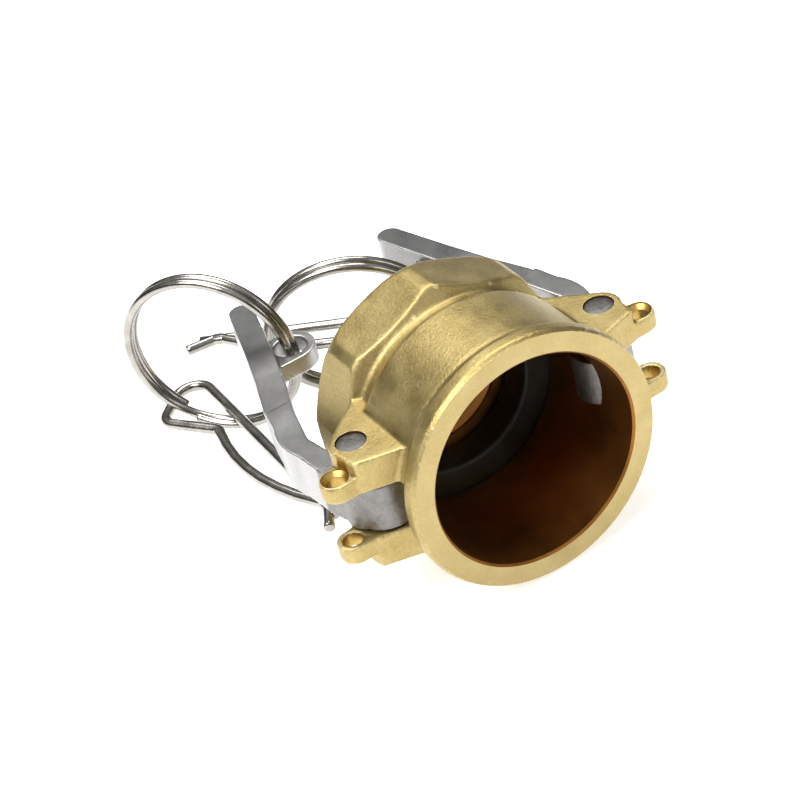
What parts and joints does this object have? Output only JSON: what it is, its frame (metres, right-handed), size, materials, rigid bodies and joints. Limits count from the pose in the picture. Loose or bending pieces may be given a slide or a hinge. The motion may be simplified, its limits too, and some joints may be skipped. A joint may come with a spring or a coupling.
{
  "type": "camlock coupling",
  "caption": "Cast brass quick coupling cap with a round socket, a rubber gasket, hinged cam arms with pull rings, and spring safety clips.",
  "frame": {"origin": "on the socket's axis, midway between the two cam pins", "axes": "+X along the socket's axis and out of its mouth, +Z along the cam pins, +Y towards arm_right"},
  "size_m": [0.0928, 0.0673, 0.0457],
  "materials": {
    "cast_brass": "sand-cast satin brass, machined at the mouth",
    "black_rubber": "matt black nitrile",
    "cast_steel": "cast stainless steel, ground and polished on the grip",
    "pin_steel": "dull stainless steel",
    "spring_wire": "bright drawn spring wire"
  },
  "bodies": {
    "housing": {"body": "cast_brass", "gasket": "black_rubber", "pin_left": "pin_steel", "pin_right": "pin_steel"},
    "arm_left": {"arm_left": "cast_steel"},
    "arm_right": {"arm_right": "cast_steel"},
    "ring_left": {"ring_left": "spring_wire"},
    "ring_right": {"ring_right": "spring_wire"},
    "clip_left": {"clip_left": "spring_wire"},
    "clip_right": {"clip_right": "spring_wire"}
  },
  "joints": [
    {"name": "arm_left_swing", "type": "hinge", "parent": "housing", "child": "arm_left", "pos_m": [0, -0.024, 0], "axis": [0, 0, 1], "range_deg": [0, 112]},
    {"name": "ring_left_swing", "type": "hinge", "parent": "arm_left", "child": "ring_left", "pos_m": [-0.0436, -0.0136, 0], "axis": [0, 0, 1], "range_deg": [-22, 6]},
    {"name": "clip_left_swing", "type": "hinge", "parent": "ring_left", "child": "clip_left", "pos_m": [-0.0612, -0.0288, -0.0134], "axis": [0.6615, 0.5674, -0.4904], "range_deg": [-3, 30]},
    {"name": "arm_right_swing", "type": "hinge", "parent": "housing", "child": "arm_right", "pos_m": [0, 0.024, 0], "axis": [0, 0, -1], "range_deg": [0, 112]},
    {"name": "ring_right_swing", "type": "hinge", "parent": "arm_right", "child": "ring_right", "pos_m": [-0.0436, 0.0136, 0], "axis": [0, 0, -1], "range_deg": [0, 50]},
    {"name": "clip_right_swing", "type": "hinge", "parent": "ring_right", "child": "clip_right", "pos_m": [-0.04573, 0.01548, -0.012], "axis": [-0.4199, -0.174, -0.8908], "range_deg": [0, 25]}
  ]
}
